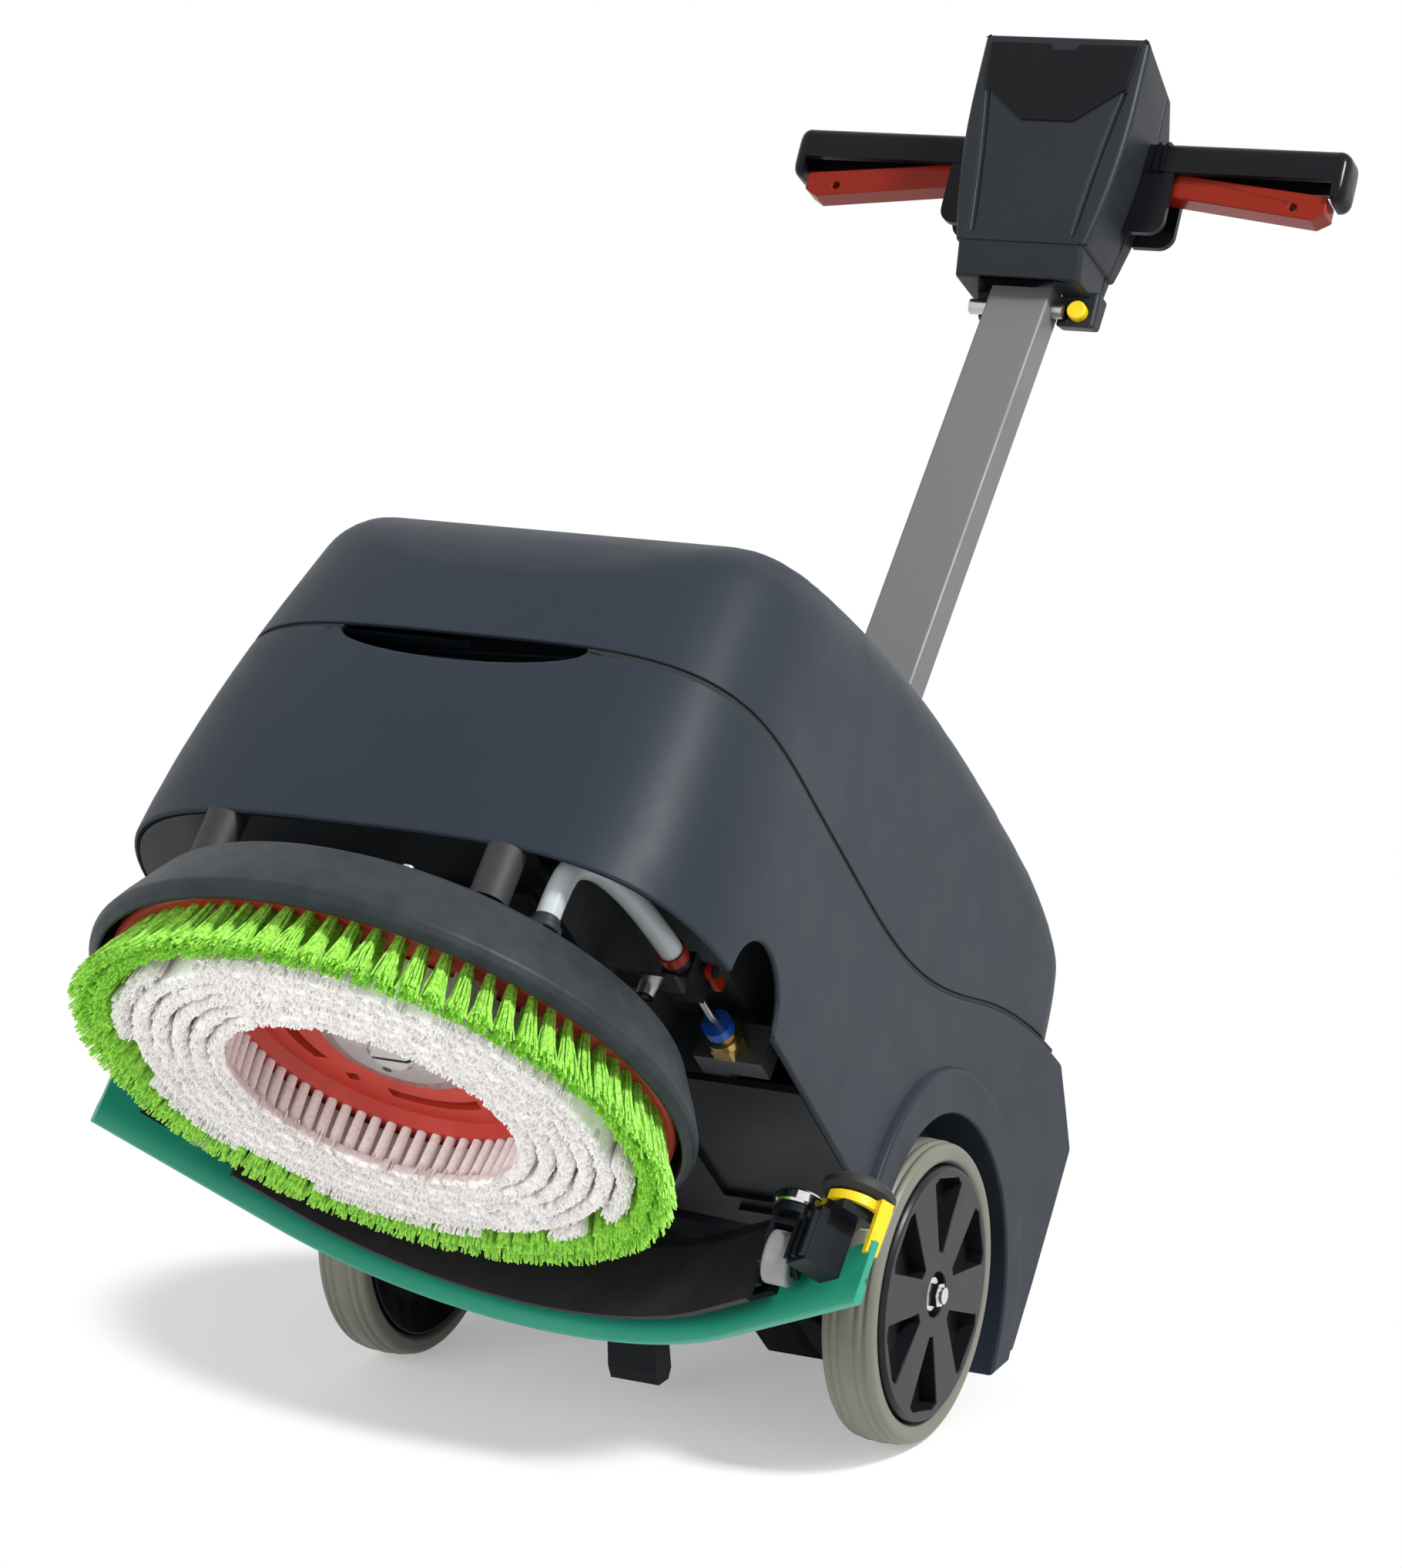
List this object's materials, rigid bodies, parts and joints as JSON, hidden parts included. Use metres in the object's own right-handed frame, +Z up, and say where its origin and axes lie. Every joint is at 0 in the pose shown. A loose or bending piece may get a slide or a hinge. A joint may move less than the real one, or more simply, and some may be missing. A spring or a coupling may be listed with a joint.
{
  "type": "wet dry floor scrubber",
  "caption": "Walk-behind wet and dry floor scrubber parked tipped back on its wheels, with disc brush, curved swivelling squeegee, lift-off hood and folding handle.",
  "frame": {"origin": "on the floor under the centre of the parked machine's bounding box", "axes": "+Z up, +Y towards the handle end, +X to the right as seen from the front, along the wheel axle"},
  "size_m": [0.5008, 1.2522, 0.8593],
  "materials": {
    "alu": "cast",
    "black": "moulded black plastic",
    "blade": "teal oil-resistant rubber",
    "blue": "blue",
    "brass": "turned",
    "chassis": "black coated",
    "chrome": "polished",
    "gloss": "glossy black",
    "green_fibre": "stiff bristles",
    "grey_wheel": "grey roller",
    "hose": "clear hose",
    "hub": "moulded hub",
    "red": "orange red",
    "red_brush": "red brush back",
    "rubber": "soft",
    "seal": "foam strip",
    "skirt": "rough moulded skirt",
    "slate": "satin moulded housing",
    "steel": "plated",
    "strip": "black rubber",
    "tank": "translucent moulding",
    "tube": "grey metallic paint",
    "tyre": "grey non-marking",
    "white_fibre": "soft bristles",
    "yellow": "yellow"
  },
  "bodies": {
    "machine": {"body_shell": "slate", "hood_seal": "seal", "under_deck": "black", "chassis": "chassis", "axle": "steel", "wheel_nuts": "chrome", "chassis_pins": "steel", "lift_guide": "steel", "gearbox": "alu", "brush_motor": "alu", "vacuum_motor": "black", "vacuum_mount": "black", "control_box": "black", "clean_tank": "tank", "dirty_tank": "tank", "splash_skirt": "skirt", "buffer_posts": "rubber", "skirt_bolts": "steel", "water_hose": "hose", "hose_clamp": "red", "tap_body": "black", "tap_bracket": "steel", "feed_tube": "steel", "feed_collet": "blue", "feed_coupling": "brass"},
    "wheel_right": {"tyre_right": "tyre", "wheel_hub_right": "hub"},
    "wheel_left": {"tyre_left": "tyre", "wheel_hub_left": "hub"},
    "brush": {"brush_block": "red_brush", "brush_drive": "steel", "green_bristles": "green_fibre", "white_bristles": "white_fibre"},
    "hood": {"hood": "slate"},
    "tap_lever": {"tap_lever": "red"},
    "lift_pedal": {"lift_pedal": "black"},
    "squeegee_lift": {"swivel_post": "steel"},
    "squeegee": {"squeegee_blade": "blade", "squeegee_strip": "strip", "squeegee_carrier": "black", "squeegee_arms": "steel", "roller_forks": "black", "roller_caps": "chrome", "end_brackets": "black", "bumper_clips": "yellow"},
    "guide_roller_right": {"guide_roller_right": "grey_wheel"},
    "guide_roller_left": {"guide_roller_left": "grey_wheel"},
    "bumper_roller_right": {"bumper_roller_right": "black"},
    "bumper_roller_left": {"bumper_roller_left": "black"},
    "handle": {"handle_tube": "tube", "tube_bolt": "steel"},
    "head": {"head_front": "black", "head_rear": "black", "head_panel": "gloss", "head_pins": "steel", "grip_right": "gloss", "grip_left": "gloss"},
    "tilt_button": {"tilt_button": "yellow"},
    "lever_right": {"lever_right": "red"},
    "lever_left": {"lever_left": "red"}
  },
  "joints": [
    {"name": "wheel_right_spin", "type": "hinge", "parent": "machine", "child": "wheel_right", "pos_m": [0.16773, -0.12339, 0.1], "axis": [1, 0, 0], "continuous": true},
    {"name": "wheel_left_spin", "type": "hinge", "parent": "machine", "child": "wheel_left", "pos_m": [-0.20027, -0.12339, 0.1], "axis": [1, 0, 0], "continuous": true},
    {"name": "brush_spin", "type": "hinge", "parent": "machine", "child": "brush", "pos_m": [-0.01627, -0.45573, 0.33335], "axis": [0, 0.7071, 0.7071], "continuous": true},
    {"name": "hood_lift", "type": "slide", "parent": "machine", "child": "hood", "axis": [0, 0.7071, 0.7071], "range_m": [0, 0.15]},
    {"name": "tap_turn", "type": "hinge", "parent": "machine", "child": "tap_lever", "pos_m": [0.14773, -0.36876, 0.37365], "axis": [1, 0, 0], "range_deg": [0, 90]},
    {"name": "pedal_press", "type": "hinge", "parent": "machine", "child": "lift_pedal", "pos_m": [-0.01627, -0.16299, 0.10283], "axis": [-1, 0, 0], "range_deg": [0, 10]},
    {"name": "squeegee_raise", "type": "slide", "parent": "machine", "child": "squeegee_lift", "axis": [0, 0.7071, 0.7071], "range_m": [0, 0.012]},
    {"name": "squeegee_swivel", "type": "hinge", "parent": "squeegee_lift", "child": "squeegee", "pos_m": [-0.01627, -0.29522, 0.1898], "axis": [0, 0.7071, 0.7071], "range_deg": [-19.2, 0]},
    {"name": "guide_roller_right_spin", "type": "hinge", "parent": "squeegee", "child": "guide_roller_right", "pos_m": [0.18308, -0.34327, 0.1926], "axis": [0.986, 0.1179, -0.1179], "continuous": true},
    {"name": "guide_roller_left_spin", "type": "hinge", "parent": "squeegee", "child": "guide_roller_left", "pos_m": [-0.1927, -0.38821, 0.23754], "axis": [0.986, 0.1179, -0.1179], "continuous": true},
    {"name": "bumper_roller_right_spin", "type": "hinge", "parent": "squeegee", "child": "bumper_roller_right", "pos_m": [0.22111, -0.31581, 0.23019], "axis": [0, 0.7071, 0.7071], "continuous": true},
    {"name": "bumper_roller_left_spin", "type": "hinge", "parent": "squeegee", "child": "bumper_roller_left", "pos_m": [-0.22626, -0.36931, 0.28369], "axis": [0, 0.7071, 0.7071], "continuous": true},
    {"name": "handle_tilt", "type": "hinge", "parent": "machine", "child": "handle", "pos_m": [-0.01627, -0.07637, 0.08833], "axis": [-1, 0, 0], "range_deg": [0, 45]},
    {"name": "head_tilt", "type": "hinge", "parent": "handle", "child": "head", "pos_m": [-0.01627, 0.49427, 0.65897], "axis": [1, 0, 0], "range_deg": [-20, 20]},
    {"name": "tilt_button_press", "type": "slide", "parent": "head", "child": "tilt_button", "axis": [0, 0.8526, -0.5225], "range_m": [0, 0.004], "stiffness_N_per_m": 800},
    {"name": "lever_right_squeeze", "type": "hinge", "parent": "head", "child": "lever_right", "pos_m": [0.06473, 0.58106, 0.74718], "axis": [0, -0.8526, 0.5225], "range_deg": [0, 9], "stiffness_Nm_per_rad": 3, "springref_deg": -11.46},
    {"name": "lever_left_squeeze", "type": "hinge", "parent": "head", "child": "lever_left", "pos_m": [-0.09727, 0.58106, 0.74718], "axis": [0, 0.8526, -0.5225], "range_deg": [0, 9], "stiffness_Nm_per_rad": 3, "springref_deg": -11.46}
  ],
  "couplings": [
    {"joint": "squeegee_raise", "follows": "pedal_press", "m_per_rad": 0.068755}
  ]
}
